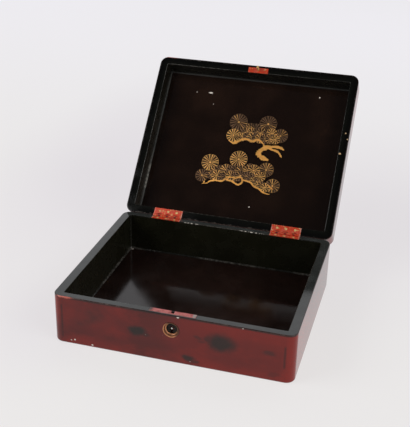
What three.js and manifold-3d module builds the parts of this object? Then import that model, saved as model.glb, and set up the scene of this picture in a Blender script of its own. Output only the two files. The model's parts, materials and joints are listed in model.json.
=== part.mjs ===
// A hinged lacquer box, lid open: wooden base and lid, two butt hinges and a cut box lock.
// Millimetres, +Z up. The origin is the middle of the underside, and the front faces -Y.
import * as THREE from "three";
import { mergeVertices } from "three/addons/utils/BufferGeometryUtils.js";
import Module from "manifold-3d";

const wasm = await Module();
wasm.setup();

// Box
const boxWidth = 262;
const boxDepth = 218;
const baseHeight = 57.5;
const sideWall = 10.5;
const endWall = 8.6;
const cornerRadius = 10;
const bottomThickness = 11;
const bottomRabbet = 4;
const glueLine = 0.1;
const baseEdgeRound = 2.4;
const rimEdgeRound = 0.8;

// Lid, described closed and then turned open
const lidAngle = 132;
const rimGap = 0.4;
const lidRail = 10.2;
const lidRecess = 22.5;
const lidTop = 7;
const lidEdgeRound = 4;
const lidGlueLine = 0.3;

// Hinges
const hingeFromSide = 56;
const hingeLength = 36.5;
const leafSetback = 0.2;
const leafThickness = 1.2;
const barrelRadius = 2;
const hingeInset = 0.2;
const stopGap = 0.3;
const hingePinRadius = 0.95;
const pinClearance = 0.15;
const knuckleCount = 7;
const knuckleGap = 0.3;
const knuckleNotch = 0.9;
const hingeScrewPitch = 11;

// Screws
const screwHeadRadius = 1.5;
const screwShankRadius = 0.8;
const screwLength = 6.5;
const screwClearance = 0.15;

// Lock
const lockFromMiddle = 1.2;
const lockPlateWidth = 50;
const lockPlateHeight = 31;
const lockPlateThickness = 1;
const lockRimDepth = 6.4;
const lockCaseWidth = 36;
const lockCaseHeight = 27;
const lockCaseDepth = 4.6;
const lockCaseSheet = 0.8;
const keyholeBelowRim = 17.5;
const keyholeRadius = 2.6;
const keyholeSlotWidth = 2.2;
const keyholeSlotLength = 6.5;
const drillPinRadius = 1;
const boltThickness = 1.2;
const boltThrow = 6;
const boltBarHeight = 4;
const boltArmHeight = 5.5;
const boltNoseHeight = 2.2;
const boltNoseLength = 7.2;
const springThickness = 0.4;
const springBow = 2.4;

// Keyhole ring
const ringRadius = 8.7;
const ringBore = 6;
const ringLip = 0.6;
const ringDish = 2.4;
const ringLipWidth = 0.8;
const ringDishSteps = 4;

// Catch on the lid
const catchPlateWidth = 26;
const catchPlateDepth = 7;
const catchPlateSetback = 0.1;
const catchScrewSpread = 9.5;
const hookThickness = 2;
const hookWidth = 2.9;
const hookReach = 8.4;
const hookEyeHeight = 3.4;
const hookStrap = 1.5;
const hookFootWidth = 6;
const hookFootHeight = 1.6;
const hookSideClearance = 0.8;
const hookEndClearance = 0.35;

// General
const fit = 0.3;
const past = 1;
const cornerSteps = 6;
const roundSides = 24;
const smallSides = 12;

// Places worked out from the sizes
const halfWidth = boxWidth / 2;
const halfDepth = boxDepth / 2;
const innerX = halfWidth - sideWall;
const innerY = halfDepth - endWall;
const lidRim = baseHeight + rimGap;
const lidUnderTop = lidRim + lidRecess;
const lidTopZ = lidUnderTop + lidTop;
const hingeY = halfDepth - hingeInset;
const hingeZ = baseHeight + rimGap / 2;
const lockFront = -innerY - lockPlateThickness - lockCaseDepth;
const lockBack = -innerY - lockPlateThickness;
const lockMiddle = (lockFront + lockCaseSheet + lockBack) / 2;
const lockTop = baseHeight - lockPlateThickness;
const keyholeZ = baseHeight - keyholeBelowRim;
const catchPlateEdge = -halfDepth + lidRail - catchPlateSetback;
const hookBottom = baseHeight - hookReach;
const hookEyeZ = hookBottom + hookStrap + hookEyeHeight / 2;

const red = { color: 0x7a1f1c, roughness: 0.18, metalness: 0 };
const black = { color: 0x0d0c0b, roughness: 0.15, metalness: 0 };
const redBrass = { color: 0xb8352a, roughness: 0.4, metalness: 0.2 };
const brass = { color: 0xb08a4a, roughness: 0.35, metalness: 1 };
const steel = { color: 0x55504a, roughness: 0.45, metalness: 1 };

// Solids

function solid(geometry) {
  const bare = geometry.clone();
  for (const name of Object.keys(bare.attributes)) {
    if (name !== "position") bare.deleteAttribute(name);
  }
  const merged = mergeVertices(bare, 1e-4);
  return new wasm.Manifold(
    new wasm.Mesh({
      numProp: 3,
      vertProperties: merged.attributes.position.array,
      triVerts: new Uint32Array(merged.index.array),
    }),
  );
}

function geometryOf(shape) {
  const mesh = shape.getMesh();
  const geometry = new THREE.BufferGeometry();
  geometry.setAttribute("position", new THREE.BufferAttribute(mesh.vertProperties, 3));
  geometry.setIndex(new THREE.BufferAttribute(mesh.triVerts, 1));
  return geometry;
}

function block([x0, x1], [y0, y1], [z0, z1]) {
  const box = new THREE.BoxGeometry(x1 - x0, y1 - y0, z1 - z0);
  box.translate((x0 + x1) / 2, (y0 + y1) / 2, (z0 + z1) / 2);
  return solid(box);
}

// A round bar along the x or y axis, from one place on it to another.
function rod(axis, radius, from, to, centre, sides = roundSides) {
  const bar = new THREE.CylinderGeometry(radius, radius, to - from, sides);
  if (axis === "x") bar.rotateZ(Math.PI / 2);
  const middle = new THREE.Vector3(...centre);
  middle[axis] = (from + to) / 2;
  bar.translate(middle.x, middle.y, middle.z);
  return solid(bar);
}

// A turned solid about +Z from pairs of radius and height.
function turned(profile, sides) {
  const points = profile.map(([r, z]) => new THREE.Vector2(r, z));
  const lathe = new THREE.LatheGeometry(points, sides);
  lathe.rotateX(Math.PI / 2);
  return lathe;
}

// The outer form of the base or the lid: rounded rectangles stacked at pairs of height and inset.
function roundedStack(levels) {
  const rings = levels.map(([z, inset]) => {
    const radius = cornerRadius - inset;
    const points = [];
    for (let corner = 0; corner < 4; corner += 1) {
      const signX = corner === 0 || corner === 3 ? 1 : -1;
      const signY = corner < 2 ? 1 : -1;
      for (let step = 0; step <= cornerSteps; step += 1) {
        const angle = (Math.PI / 2) * (corner + step / cornerSteps);
        points.push([
          signX * (halfWidth - cornerRadius) + radius * Math.cos(angle),
          signY * (halfDepth - cornerRadius) + radius * Math.sin(angle),
          z,
        ]);
      }
    }
    return points;
  });
  const count = rings[0].length;
  const positions = rings.flat(2);
  const faces = [];
  for (let level = 0; level + 1 < rings.length; level += 1) {
    for (let i = 0; i < count; i += 1) {
      const a = level * count + i;
      const b = level * count + ((i + 1) % count);
      faces.push(a, b, b + count, a, b + count, a + count);
    }
  }
  const top = (rings.length - 1) * count;
  for (let i = 1; i + 1 < count; i += 1) {
    faces.push(0, i + 1, i);
    faces.push(top, top + i, top + i + 1);
  }
  const geometry = new THREE.BufferGeometry();
  geometry.setAttribute("position", new THREE.Float32BufferAttribute(positions, 3));
  geometry.setIndex(faces);
  return solid(geometry);
}

// Levels that round an edge off by a radius, from the flat towards the side.
function edgeLevels(flatZ, radius, direction, steps = 3) {
  return Array.from({ length: steps + 1 }, (_, i) => {
    const angle = (Math.PI / 2) * (i / steps);
    return [
      flatZ + direction * radius * (1 - Math.cos(angle)),
      radius * (1 - Math.sin(angle)),
    ];
  });
}

// Screws: a countersunk head, a plain shank and a point

function screwProfile(grow) {
  const head = screwHeadRadius + grow;
  const shank = screwShankRadius + grow;
  const taper = screwHeadRadius - screwShankRadius;
  return [
    [0, grow],
    [head, grow],
    [head, 0],
    [shank, -taper],
    [shank, -screwLength + shank],
    [0, -screwLength - grow],
  ].reverse();
}

function screwGeometry(place, turn, grow = 0) {
  const geometry = turned(screwProfile(grow), smallSides);
  geometry.rotateX(turn);
  geometry.translate(...place);
  return geometry;
}

const intoBase = 0;
const intoLid = Math.PI;
const intoFront = -Math.PI / 2;

function screwHole(place, turn) {
  return solid(screwGeometry(place, turn, screwClearance));
}

// Assembly

const box = new THREE.Group();
const base = new THREE.Group();
const lidPivot = new THREE.Group();
const lid = new THREE.Group();
lidPivot.position.set(0, hingeY, hingeZ);
lidPivot.rotation.x = -THREE.MathUtils.degToRad(lidAngle);
lid.position.set(0, -hingeY, -hingeZ);
lidPivot.add(lid);
box.add(base, lidPivot);

function addPiece(group, name, shape, finish, fromMiddle = 0) {
  const geometry = shape.isBufferGeometry ? shape : geometryOf(shape);
  geometry.translate(fromMiddle, 0, 0);
  const mesh = new THREE.Mesh(geometry, new THREE.MeshStandardMaterial(finish));
  mesh.name = name;
  group.add(mesh);
}

// Hinges

const knuckleLength = hingeLength / knuckleCount;
const hingeCentres = {
  left: -halfWidth + hingeFromSide,
  right: halfWidth - hingeFromSide,
};
const baseLeaf = {
  reach: endWall - hingeInset - leafSetback,
  faceZ: baseHeight,
  band: [baseHeight - leafThickness, baseHeight],
  pocket: [baseHeight - leafThickness - fit, baseHeight + past],
  oddKnuckles: true,
  screwTurn: intoBase,
};
const lidLeaf = {
  reach: lidRail - hingeInset - leafSetback,
  faceZ: lidRim,
  band: [lidRim, lidRim + leafThickness],
  pocket: [lidRim - past, lidRim + leafThickness + fit],
  oddKnuckles: false,
  screwTurn: intoLid,
};

// The screws stand in a row halfway between the barrel and the far edge of the leaf.
function hingeScrewPlaces(centre, { reach, faceZ }) {
  const y = hingeY - (reach + barrelRadius + knuckleNotch) / 2;
  return [-1, 0, 1].map((k) => [centre + k * hingeScrewPitch, y, faceZ]);
}

// The rear edge bevelled to half the opening angle: the two bevels meet when the lid is fully open.
function cutStopBevel(wood, upOrDown) {
  const bevel = new THREE.BoxGeometry(boxWidth + 2 * past, boxDepth, boxDepth);
  bevel.translate(0, boxDepth / 2, 0);
  bevel.translate(0, -stopGap / 2, 0);
  bevel.rotateX(upOrDown * THREE.MathUtils.degToRad(90 - lidAngle / 2));
  bevel.translate(0, hingeY, hingeZ);
  return wood.subtract(solid(bevel));
}

// One leaf with its share of the knuckles, cut out round those of the other leaf.
function hingeLeaf(centre, form) {
  const x0 = centre - hingeLength / 2;
  let leaf = block([x0, x0 + hingeLength], [hingeY - form.reach, hingeY], form.band);
  const axis = [0, hingeY, hingeZ];
  for (let k = 0; k < knuckleCount; k += 1) {
    const from = x0 + k * knuckleLength;
    const mine = k % 2 === (form.oddKnuckles ? 1 : 0);
    const start = k === 0 ? 0 : knuckleGap / 2;
    const end = k === knuckleCount - 1 ? 0 : knuckleGap / 2;
    if (mine) {
      leaf = leaf.add(rod("x", barrelRadius, from + start, from + knuckleLength - end, axis));
    }
  }
  for (let k = 0; k < knuckleCount; k += 1) {
    const from = x0 + k * knuckleLength;
    const mine = k % 2 === (form.oddKnuckles ? 1 : 0);
    const before = k === 0 ? past : knuckleGap / 2;
    const after = k === knuckleCount - 1 ? past : knuckleGap / 2;
    if (!mine) {
      leaf = leaf.subtract(
        rod("x", barrelRadius + knuckleNotch, from - before, from + knuckleLength + after, axis),
      );
    }
  }
  const bore = hingePinRadius + pinClearance;
  leaf = leaf.subtract(rod("x", bore, x0 - past, x0 + hingeLength + past, axis));
  for (const place of hingeScrewPlaces(centre, form)) {
    leaf = leaf.subtract(screwHole(place, form.screwTurn));
  }
  return leaf;
}

// What a hinge takes out of the wood: the leaf's pocket, the barrel's groove and the screw holes.
function cutForHinges(wood, form) {
  let cut = wood;
  for (const centre of Object.values(hingeCentres)) {
    const x0 = centre - hingeLength / 2 - fit;
    const x1 = centre + hingeLength / 2 + fit;
    const pocketY = [hingeY - form.reach - fit, halfDepth + past];
    cut = cut.subtract(block([x0, x1], pocketY, form.pocket));
    cut = cut.subtract(rod("x", barrelRadius + fit, x0, x1, [0, hingeY, hingeZ]));
    for (const place of hingeScrewPlaces(centre, form)) {
      cut = cut.subtract(screwHole(place, form.screwTurn));
    }
  }
  return cut;
}

function addHinges() {
  for (const [side, centre] of Object.entries(hingeCentres)) {
    addPiece(base, `${side}_hinge_base_leaf`, hingeLeaf(centre, baseLeaf), redBrass);
    addPiece(lid, `${side}_hinge_lid_leaf`, hingeLeaf(centre, lidLeaf), redBrass);
    const half = hingeLength / 2;
    const pin = rod("x", hingePinRadius, centre - half, centre + half, [0, hingeY, hingeZ]);
    addPiece(base, `${side}_hinge_pin`, pin, brass);
    hingeScrewPlaces(centre, baseLeaf).forEach((place, i) => {
      const screw = screwGeometry(place, intoBase);
      addPiece(base, `${side}_hinge_base_screw_${i + 1}`, screw, brass);
    });
    hingeScrewPlaces(centre, lidLeaf).forEach((place, i) => {
      const screw = screwGeometry(place, intoLid);
      addPiece(lid, `${side}_hinge_lid_screw_${i + 1}`, screw, brass);
    });
  }
}

// Lock: an L-shaped plate, a case on its front, the bolt, its spring and the drill pin.
// The lock and the catch are drawn about x = 0 and put lockFromMiddle to the right.

const lockScrewX = (lockPlateWidth / 2 + lockCaseWidth / 2) / 2;
const lockRimScrewY = -innerY - lockRimDepth / 2;
const lockBackScrewZ = baseHeight - lockPlateHeight + screwHeadRadius * 2;
const lockScrews = [
  { name: "lock_rim_screw_left", place: [-lockScrewX, lockRimScrewY, baseHeight], turn: intoBase },
  { name: "lock_rim_screw_right", place: [lockScrewX, lockRimScrewY, baseHeight], turn: intoBase },
  { name: "lock_back_screw_left", place: [-lockScrewX, -innerY, lockBackScrewZ], turn: intoFront },
  { name: "lock_back_screw_right", place: [lockScrewX, -innerY, lockBackScrewZ], turn: intoFront },
];
const lockHalf = lockPlateWidth / 2;
const caseHalf = lockCaseWidth / 2;
const caseBottom = lockTop - lockCaseHeight;
const hookSlotX = hookThickness / 2 + hookSideClearance;
const hookSlotY = hookWidth / 2 + hookEndClearance;

function lockPlate() {
  const rimBand = [baseHeight - lockPlateThickness, baseHeight];
  const backBand = [lockBack, -innerY];
  const rim = block([-lockHalf, lockHalf], [-innerY - lockRimDepth, -innerY], rimBand);
  const back = block([-lockHalf, lockHalf], backBand, [baseHeight - lockPlateHeight, baseHeight]);
  const slot = block(
    [-hookSlotX, hookSlotX],
    [lockMiddle - hookSlotY, lockMiddle + hookSlotY],
    [baseHeight - lockPlateThickness - past, baseHeight + past],
  );
  let plate = rim.add(back).subtract(slot);
  for (const { place, turn } of lockScrews) {
    plate = plate.subtract(screwHole(place, turn));
  }
  return plate;
}

function cutForLock(wood) {
  const backBand = [lockBack - fit, -innerY + past];
  const plateX = [-lockHalf - fit, lockHalf + fit];
  const rimY = [-innerY - lockRimDepth - fit, -innerY + past];
  let cut = wood
    .subtract(block(plateX, rimY, [lockTop - fit, baseHeight + past]))
    .subtract(block(plateX, backBand, [baseHeight - lockPlateHeight - fit, baseHeight + past]))
    .subtract(
      block(
        [-caseHalf - fit, caseHalf + fit],
        [lockFront - fit, -innerY + past],
        [caseBottom - fit, baseHeight + past],
      ),
    );
  const centre = [0, 0, keyholeZ];
  cut = cut.subtract(rod("y", ringRadius + fit, -halfDepth - past, lockFront, centre));
  for (const { place, turn } of lockScrews) {
    cut = cut.subtract(screwHole(place, turn));
  }
  return cut;
}

function lockCase() {
  const outer = block([-caseHalf, caseHalf], [lockFront, lockBack], [caseBottom, lockTop]);
  const inner = block(
    [-caseHalf + lockCaseSheet, caseHalf - lockCaseSheet],
    [lockFront + lockCaseSheet, lockBack + past],
    [caseBottom + lockCaseSheet, lockTop + past],
  );
  const hole = rod("y", keyholeRadius, lockFront - past, lockFront + past * 2, [0, 0, keyholeZ]);
  const slot = block(
    [-keyholeSlotWidth / 2, keyholeSlotWidth / 2],
    [lockFront - past, lockFront + past * 2],
    [keyholeZ - keyholeSlotLength, keyholeZ],
  );
  return outer.subtract(inner).subtract(hole).subtract(slot);
}

// The bolt, drawn back: a bar with a notch for the key, an arm, and the nose that enters the hook.
function lockBolt() {
  const bandY = [lockMiddle - boltThickness / 2, lockMiddle + boltThickness / 2];
  const barTop = hookBottom - fit;
  const left = -caseHalf + lockCaseSheet + fit;
  const noseEnd = -hookSlotX - fit;
  const bar = block([left, -left - boltThrow - fit], bandY, [barTop - boltBarHeight, barTop]);
  const armHeight = [barTop - past, barTop + boltArmHeight];
  const arm = block([left, noseEnd - boltNoseLength], bandY, armHeight);
  const nose = block(
    [noseEnd - boltNoseLength - past, noseEnd],
    bandY,
    [hookEyeZ - boltNoseHeight / 2, hookEyeZ + boltNoseHeight / 2],
  );
  const notch = block(
    [-boltThrow / 2 - past, boltThrow / 2 - past],
    [bandY[0] - past, bandY[1] + past],
    [barTop - boltBarHeight - past, barTop - boltBarHeight / 2],
  );
  return { shape: bar.add(arm).add(nose).subtract(notch), bottom: barTop - boltBarHeight };
}

// A bowed strip under the bolt that keeps it from rattling.
function boltSpring(boltBottom) {
  const left = -caseHalf + lockCaseSheet + fit;
  const right = -keyholeRadius - boltThrow;
  const middle = (left + right) / 2;
  const ends = boltBottom - fit - springBow;
  const control = ends + 2 * springBow;
  const outline = new THREE.Shape();
  outline.moveTo(left, ends);
  outline.quadraticCurveTo(middle, control, right, ends);
  outline.lineTo(right, ends - springThickness);
  outline.quadraticCurveTo(middle, control - springThickness, left, ends - springThickness);
  const strip = new THREE.ExtrudeGeometry(outline, {
    depth: boltThickness,
    bevelEnabled: false,
    curveSegments: 8,
  });
  strip.rotateX(Math.PI / 2);
  strip.translate(0, lockMiddle + boltThickness / 2, 0);
  return strip;
}

// A dished ring, turned: a lip on the front face and a hollow that falls to the bore.
function keyholeRing() {
  const depth = lockFront - fit + halfDepth;
  const hollow = Array.from({ length: ringDishSteps + 1 }, (_, i) => {
    const angle = (Math.PI / 2) * (i / ringDishSteps);
    return [
      ringBore + (ringRadius - ringLipWidth - ringBore) * Math.cos(angle),
      ringLip - (ringLip + ringDish) * Math.sin(angle),
    ];
  });
  const profile = [
    [ringBore, -depth],
    [ringRadius, -depth],
    [ringRadius, ringLip],
    ...hollow,
    [ringBore, -depth],
  ];
  const ring = turned(profile, roundSides);
  ring.rotateX(Math.PI / 2);
  ring.translate(0, -halfDepth, keyholeZ);
  return ring;
}

// Cuts made by a function that works about x = 0, in wood that stays where it is.
function cutFromMiddle(wood, cutter) {
  return cutter(wood.translate([-lockFromMiddle, 0, 0])).translate([lockFromMiddle, 0, 0]);
}

function addLock() {
  const bolt = lockBolt();
  const pin = rod("y", drillPinRadius, lockFront, lockBack, [0, 0, keyholeZ], smallSides);
  addPiece(base, "lock_plate", lockPlate(), redBrass, lockFromMiddle);
  addPiece(base, "lock_case", lockCase(), steel, lockFromMiddle);
  addPiece(base, "lock_bolt", bolt.shape, steel, lockFromMiddle);
  addPiece(base, "lock_bolt_spring", boltSpring(bolt.bottom), steel, lockFromMiddle);
  addPiece(base, "lock_drill_pin", pin, steel, lockFromMiddle);
  addPiece(base, "keyhole_ring", keyholeRing(), brass, lockFromMiddle);
  for (const { name, place, turn } of lockScrews) {
    addPiece(base, name, screwGeometry(place, turn), brass, lockFromMiddle);
  }
}

// Catch: a plate let into the lid's front rail and a hook with an eye for the bolt

const catchScrewPlaces = [-1, 1].map((k) => [k * catchScrewSpread, lockMiddle, lidRim]);

function catchHook() {
  const foot = block(
    [-hookFootWidth / 2, hookFootWidth / 2],
    [lockMiddle - hookWidth / 2, lockMiddle + hookWidth / 2],
    [lidRim + lockPlateThickness + fit, lidRim + lockPlateThickness + fit + hookFootHeight],
  );
  const blade = block(
    [-hookThickness / 2, hookThickness / 2],
    [lockMiddle - hookWidth / 2, lockMiddle + hookWidth / 2],
    [hookBottom, lidRim + lockPlateThickness + fit + hookFootHeight / 2],
  );
  const eyeHalf = boltThickness / 2 + fit;
  const eye = block(
    [-past * 2, past * 2],
    [lockMiddle - eyeHalf, lockMiddle + eyeHalf],
    [hookEyeZ - hookEyeHeight / 2, hookEyeZ + hookEyeHeight / 2],
  );
  return foot.add(blade).subtract(eye);
}

const catchBandY = [catchPlateEdge - catchPlateDepth, catchPlateEdge];

function catchPlate() {
  const half = catchPlateWidth / 2;
  let plate = block([-half, half], catchBandY, [lidRim, lidRim + lockPlateThickness]);
  plate = plate.subtract(
    block(
      [-hookThickness / 2 - fit, hookThickness / 2 + fit],
      [lockMiddle - hookWidth / 2 - fit, lockMiddle + hookWidth / 2 + fit],
      [lidRim - past, lidRim + lockPlateThickness + past],
    ),
  );
  for (const place of catchScrewPlaces) {
    plate = plate.subtract(screwHole(place, intoLid));
  }
  return plate;
}

function cutForCatch(wood) {
  const half = catchPlateWidth / 2;
  let cut = wood
    .subtract(
      block(
        [-half - fit, half + fit],
        [catchBandY[0] - fit, catchBandY[1] + past],
        [lidRim - past, lidRim + lockPlateThickness + fit],
      ),
    )
    .subtract(
      block(
        [-hookFootWidth / 2 - fit, hookFootWidth / 2 + fit],
        [lockMiddle - hookWidth / 2 - fit, lockMiddle + hookWidth / 2 + fit],
        [lidRim, lidRim + lockPlateThickness + hookFootHeight + 2 * fit],
      ),
    );
  for (const place of catchScrewPlaces) {
    cut = cut.subtract(screwHole(place, intoLid));
  }
  return cut;
}

function addCatch() {
  addPiece(lid, "catch_plate", catchPlate(), redBrass, lockFromMiddle);
  addPiece(lid, "catch_hook", catchHook(), brass, lockFromMiddle);
  catchScrewPlaces.forEach((place, i) => {
    addPiece(lid, `catch_screw_${i + 1}`, screwGeometry(place, intoLid), brass, lockFromMiddle);
  });
}

// Woodwork of the base: sides the full depth, the front and back between them, the bottom in a rabbet

function addBase() {
  const levels = [
    ...edgeLevels(0, baseEdgeRound, 1),
    ...edgeLevels(baseHeight, rimEdgeRound, -1, 2).reverse(),
  ];
  const form = cutStopBevel(roundedStack(levels), 1);
  const rabbetX = innerX + bottomRabbet;
  const rabbetY = innerY + bottomRabbet;
  const rabbet = block([-rabbetX, rabbetX], [-rabbetY, rabbetY], [-past, bottomThickness]);
  const wholeDepth = [-halfDepth - past, halfDepth + past];
  const wholeHeight = [-past, baseHeight + past];
  const between = [-innerX + glueLine, innerX - glueLine];
  const side = (from, to) =>
    form.intersect(block([from, to], wholeDepth, wholeHeight)).subtract(rabbet);
  addPiece(base, "base_left_wall", side(-halfWidth - past, -innerX), red);
  addPiece(base, "base_right_wall", side(innerX, halfWidth + past), red);
  const front = form
    .intersect(block(between, [-halfDepth - past, -innerY], wholeHeight))
    .subtract(rabbet);
  const back = form
    .intersect(block(between, [innerY, halfDepth + past], wholeHeight))
    .subtract(rabbet);
  addPiece(base, "base_front_wall", cutFromMiddle(front, cutForLock), red);
  addPiece(base, "base_back_wall", cutForHinges(back, baseLeaf), red);
  const bottom = block(
    [-rabbetX + glueLine, rabbetX - glueLine],
    [-rabbetY + glueLine, rabbetY - glueLine],
    [0, bottomThickness - glueLine],
  );
  addPiece(base, "base_bottom", bottom, black);
}

// Woodwork of the lid: a top board on a frame of four rails

function addLid() {
  const levels = [
    ...edgeLevels(lidRim, rimEdgeRound, 1, 2),
    ...edgeLevels(lidTopZ, lidEdgeRound, -1, 4).reverse(),
  ];
  const form = cutStopBevel(roundedStack(levels), -1);
  const inX = halfWidth - lidRail;
  const inY = halfDepth - lidRail;
  const wholeDepth = [-halfDepth - past, halfDepth + past];
  const railHeight = [lidRim - past, lidUnderTop];
  const between = [-inX + lidGlueLine, inX - lidGlueLine];
  const side = (from, to) => form.intersect(block([from, to], wholeDepth, railHeight));
  addPiece(lid, "lid_left_rail", side(-halfWidth - past, -inX), red);
  addPiece(lid, "lid_right_rail", side(inX, halfWidth + past), red);
  const front = form.intersect(block(between, [-halfDepth - past, -inY], railHeight));
  const back = form.intersect(block(between, [inY, halfDepth + past], railHeight));
  addPiece(lid, "lid_front_rail", cutFromMiddle(front, cutForCatch), red);
  addPiece(lid, "lid_back_rail", cutForHinges(back, lidLeaf), red);
  const topHeight = [lidUnderTop + lidGlueLine, lidTopZ + past];
  const top = form.intersect(
    block([-halfWidth - past, halfWidth + past], wholeDepth, topHeight),
  );
  addPiece(lid, "lid_top", top, red);
}

addBase();
addLid();
addHinges();
addLock();
addCatch();

export default box;
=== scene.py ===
import json
import math
import random

import bmesh
import bpy
from mathutils import Matrix, Vector


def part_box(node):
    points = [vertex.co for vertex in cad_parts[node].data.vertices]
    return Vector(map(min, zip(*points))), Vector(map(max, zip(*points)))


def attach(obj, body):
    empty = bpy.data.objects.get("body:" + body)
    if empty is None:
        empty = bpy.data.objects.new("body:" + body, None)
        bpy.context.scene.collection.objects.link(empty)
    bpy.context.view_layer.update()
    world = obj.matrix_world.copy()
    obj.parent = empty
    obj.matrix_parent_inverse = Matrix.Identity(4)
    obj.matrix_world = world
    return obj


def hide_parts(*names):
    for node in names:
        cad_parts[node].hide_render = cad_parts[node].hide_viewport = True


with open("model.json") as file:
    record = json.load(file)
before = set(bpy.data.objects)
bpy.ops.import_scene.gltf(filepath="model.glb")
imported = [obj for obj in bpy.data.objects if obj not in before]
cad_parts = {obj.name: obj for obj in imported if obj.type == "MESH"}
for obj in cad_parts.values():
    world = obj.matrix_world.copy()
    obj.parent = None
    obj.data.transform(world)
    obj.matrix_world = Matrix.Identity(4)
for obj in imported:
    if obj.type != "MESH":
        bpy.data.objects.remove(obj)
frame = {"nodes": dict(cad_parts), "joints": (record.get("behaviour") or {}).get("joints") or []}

MM = 0.001
random.seed(7)
nodes = frame["nodes"]
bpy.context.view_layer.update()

# The photograph's frame and the camera fitted to the corners of the box in it
PHOTO_WIDTH = 410
PHOTO_HEIGHT = 427
FOCAL_PX = 885.82
CAMERA_AZIMUTH = math.radians(15.5455)
CAMERA_ELEVATION = math.radians(25.4253)
CAMERA_ROLL = math.radians(1.3858)
CAMERA_PLACE = Vector((0.23752, -0.83917, 0.53727))

# The lid's turn, from shut to open
HINGE = next(joint for joint in frame["joints"] if joint["name"] == "lid_hinge")
HINGE_PLACE = Vector(HINGE["pos_m"])
LID_ANGLE = math.radians(HINGE["range_deg"][1])
OPENING = (
    Matrix.Translation(HINGE_PLACE)
    @ Matrix.Rotation(-LID_ANGLE, 4, "X")
    @ Matrix.Translation(-HINGE_PLACE)
)


def shut_box(name):
    """The box round a node of the lid, with the lid shut."""
    places = [OPENING.inverted() @ vertex.co for vertex in nodes[name].data.vertices]
    low = Vector([min(place[i] for place in places) for i in range(3)])
    high = Vector([max(place[i] for place in places) for i in range(3)])
    return low, high


# Sizes that come from the frame
LEFT_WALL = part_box("base_left_wall")
FRONT_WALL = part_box("base_front_wall")
HALF_WIDTH = -LEFT_WALL[0].x
HALF_DEPTH = -FRONT_WALL[0].y
SIDE_WALL = LEFT_WALL[1].x - LEFT_WALL[0].x
END_WALL = FRONT_WALL[1].y - FRONT_WALL[0].y
INNER_Y = HALF_DEPTH - END_WALL
RIM_Z = LEFT_WALL[1].z
FLOOR_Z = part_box("base_bottom")[1].z
LEFT_RAIL = shut_box("lid_left_rail")
LID_RAIL = LEFT_RAIL[1].x - LEFT_RAIL[0].x
LID_RIM_Z = LEFT_RAIL[0].z
LID_RECESS = LEFT_RAIL[1].z - LID_RIM_Z
LID_TOP_Z = shut_box("lid_top")[1].z
PANEL_Z = LID_RIM_Z + LID_RECESS

# Sizes of the lacquered forms
CORNER_RADIUS = 10 * MM
INNER_CORNER = 1.6 * MM
BASE_FOOT_ROUND = 2.4 * MM
RIM_ROUND = 0.8 * MM
RIM_INNER_ROUND = 0.6 * MM
FLOOR_FILLET = 1.7 * MM
LID_ROUND = 4 * MM
LID_FILLET = 2 * MM
CORNER_STEPS = 12
RIM_STEPS = 3
RING_SIDES = 48
POCKET_GAP = 0.15 * MM
POCKET_DEPTH = 1.35 * MM
HINGE_GROOVE = 2.3 * MM
STOP_GAP = 0.15 * MM
CUTTER_PAST = 3 * MM
BEVEL_REACH = 0.1
SOFT_EDGE = 0.12 * MM
LACQUER_CREASE = math.radians(40)
METAL_CREASE = math.radians(35)
# The name under which each point's place with the lid shut is kept
CLOSED_PLACE = "closed_place"

# Colours, linear
RED_DEEP = (0.088, 0.0066, 0.0045, 1)
RED_MID = (0.152, 0.0092, 0.0055, 1)
RED_BRIGHT = (0.250, 0.0120, 0.0050, 1)
RED_LINE = (0.018, 0.0050, 0.0040, 1)
CLOUD = (0.010, 0.0100, 0.0075, 1)
BLACK_GREEN = (0.0032, 0.0036, 0.0022, 1)
RAIL_BLACK = (0.0013, 0.0012, 0.0007, 1)
WALL_GREEN = (0.0070, 0.0068, 0.0030, 1)
# Painted light on the left inner wall of the base
WALL_PAINTED_LIGHT = (0.0120, 0.0110, 0.0065, 1)
RECESS_GREEN = (0.0060, 0.0055, 0.0030, 1)
# Painted light on the left inner wall of the lid
RECESS_PAINTED_LIGHT = (0.0230, 0.0180, 0.0130, 1)
PANEL_BROWN = (0.0082, 0.0037, 0.0021, 1)
FLOOR_BROWN = (0.0096, 0.0046, 0.0034, 1)
RIM_BLACK = (0.0260, 0.0280, 0.0260, 1)
WORN_GREY = (0.110, 0.100, 0.085, 1)
# Pale wear and painted highlight on the lid's fillet
FILLET_WEAR_AND_HIGHLIGHT = (0.270, 0.250, 0.210, 1)
WORN_TAN = (0.420, 0.260, 0.180, 1)
CHIP_PALE = (0.800, 0.730, 0.640, 1)
CHIP_TAN = (0.620, 0.420, 0.230, 1)
CORNER_WEAR = (0.560, 0.130, 0.090, 1)
BARE_WOOD = (0.300, 0.170, 0.090, 1)
GOLD_BRANCH = (0.950, 0.480, 0.120, 1)
GOLD_BRIGHT = (0.980, 0.545, 0.170, 1)
GOLD_NEEDLE = (0.600, 0.325, 0.115, 1)
GOLD_DIM = (0.270, 0.150, 0.080, 1)
GOLD_DUST = (0.030, 0.016, 0.009, 1)
LEAF_RED = (0.660, 0.050, 0.014, 1)
LEAF_PINK = (0.560, 0.075, 0.038, 1)
PLATE_PINK = (0.560, 0.150, 0.140, 1)
PLATE_RED = (0.360, 0.085, 0.075, 1)
# Painted shade across the hinges' knuckles
HINGE_SHADE = (0.060, 0.008, 0.006, 1)
# Painted shade in the slot of the lock's plate
PLATE_SLOT_SHADE = (0.020, 0.010, 0.010, 1)
PLATE_DULL = (0.120, 0.075, 0.070, 1)
PLATE_GREY = (0.400, 0.340, 0.310, 1)
# Painted highlight at the ends of the hinge leaves
END_HIGHLIGHT = (0.700, 0.520, 0.440, 1)
BRASS_YELLOW = (0.780, 0.530, 0.200, 1)
COPPER = (0.620, 0.270, 0.120, 1)
COPPER_DARK = (0.200, 0.075, 0.040, 1)
STEEL_PALE = (0.550, 0.550, 0.520, 1)
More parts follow.
